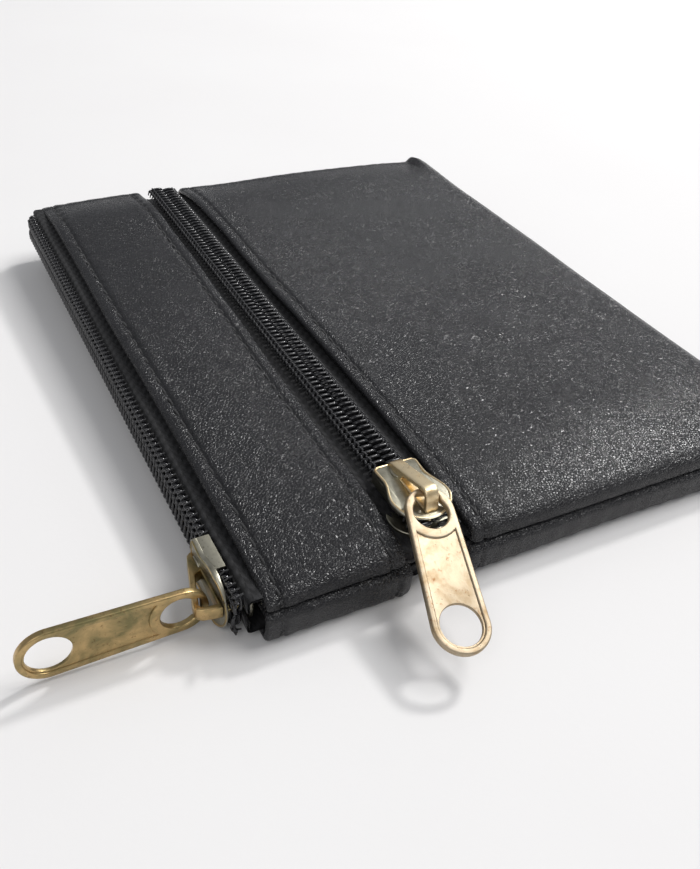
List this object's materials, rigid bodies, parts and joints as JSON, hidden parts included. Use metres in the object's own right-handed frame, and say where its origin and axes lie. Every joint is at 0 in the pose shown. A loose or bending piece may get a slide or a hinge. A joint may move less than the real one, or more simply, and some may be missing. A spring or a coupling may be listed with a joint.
{
  "type": "coin purse",
  "caption": "Flat leather coin purse with a zip mouth, a zip pocket on the front and on the back, and antique brass sliders with long pulls.",
  "frame": {"origin": "on the flat back face, midway between the short sides and 47.5 mm from the bottom fold", "axes": "+X along the zips, away from the end where the mouth zip and the front zip are closed; +Y towards the mouth; +Z out of the front face"},
  "size_m": [0.1521, 0.1234, 0.0184],
  "materials": {
    "leather": "black full-grain leather with a fine pebble grain and a soft sheen",
    "thread": "black sewing thread",
    "lining": "dark woven lining",
    "zip_tape": "black woven zip tape",
    "zip_coil": "glossy black nylon coil",
    "antique_brass": "antique brass with brown patina in the recesses and pale worn edges"
  },
  "bodies": {
    "purse": {"front_strip": "leather", "back_strip": "leather", "wrap_panel": "leather", "side_seam_near": "thread", "side_seam_far": "thread", "main_lining": "lining", "front_pocket_lining": "lining", "back_pocket_lining": "lining", "main_tape_front": "zip_tape", "main_tape_back": "zip_tape", "main_coil_front": "zip_coil", "main_coil_back": "zip_coil", "front_tape_upper": "zip_tape", "front_tape_lower": "zip_tape", "front_coil_upper": "zip_coil", "front_coil_lower": "zip_coil", "back_tape_upper": "zip_tape", "back_tape_lower": "zip_tape", "back_coil_upper": "zip_coil", "back_coil_lower": "zip_coil", "strip_edge_stitch_front": "thread", "strip_zip_stitch_front": "thread", "panel_zip_stitch_front": "thread", "strip_edge_stitch_back": "thread", "strip_zip_stitch_back": "thread", "panel_zip_stitch_back": "thread"},
    "main_slider": {"main_slider": "antique_brass"},
    "main_pull": {"main_pull": "antique_brass"},
    "front_slider": {"front_slider": "antique_brass"},
    "front_pull": {"front_pull": "antique_brass"},
    "back_slider": {"back_slider": "antique_brass"},
    "back_pull": {"back_pull": "antique_brass"}
  },
  "joints": [
    {"name": "main_zip", "type": "slide", "parent": "purse", "child": "main_slider", "axis": [1, 0, 0], "range_m": [0, 0.094]},
    {"name": "main_pull", "type": "hinge", "parent": "main_slider", "child": "main_pull", "pos_m": [-0.0538, 0.05295, 0.0045], "axis": [0, 0, 1], "range_deg": [-68, 68]},
    {"name": "front_zip", "type": "slide", "parent": "purse", "child": "front_slider", "axis": [1, 0, 0], "range_m": [0, 0.094]},
    {"name": "front_pull", "type": "hinge", "parent": "front_slider", "child": "front_pull", "pos_m": [-0.0538, 0.0217, 0.0125], "axis": [0, 1, 0], "range_deg": [0, 160]},
    {"name": "back_zip", "type": "slide", "parent": "purse", "child": "back_slider", "axis": [-1, 0, 0], "range_m": [0, 0.094]},
    {"name": "back_pull", "type": "hinge", "parent": "back_slider", "child": "back_pull", "pos_m": [0.0538, 0.0217, -0.002], "axis": [0, 1, 0], "range_deg": [-2, 155]}
  ],
  "couplings": [
    {"joint": "front_pull", "follows": "front_zip", "rad_per_m": 27.85}
  ]
}
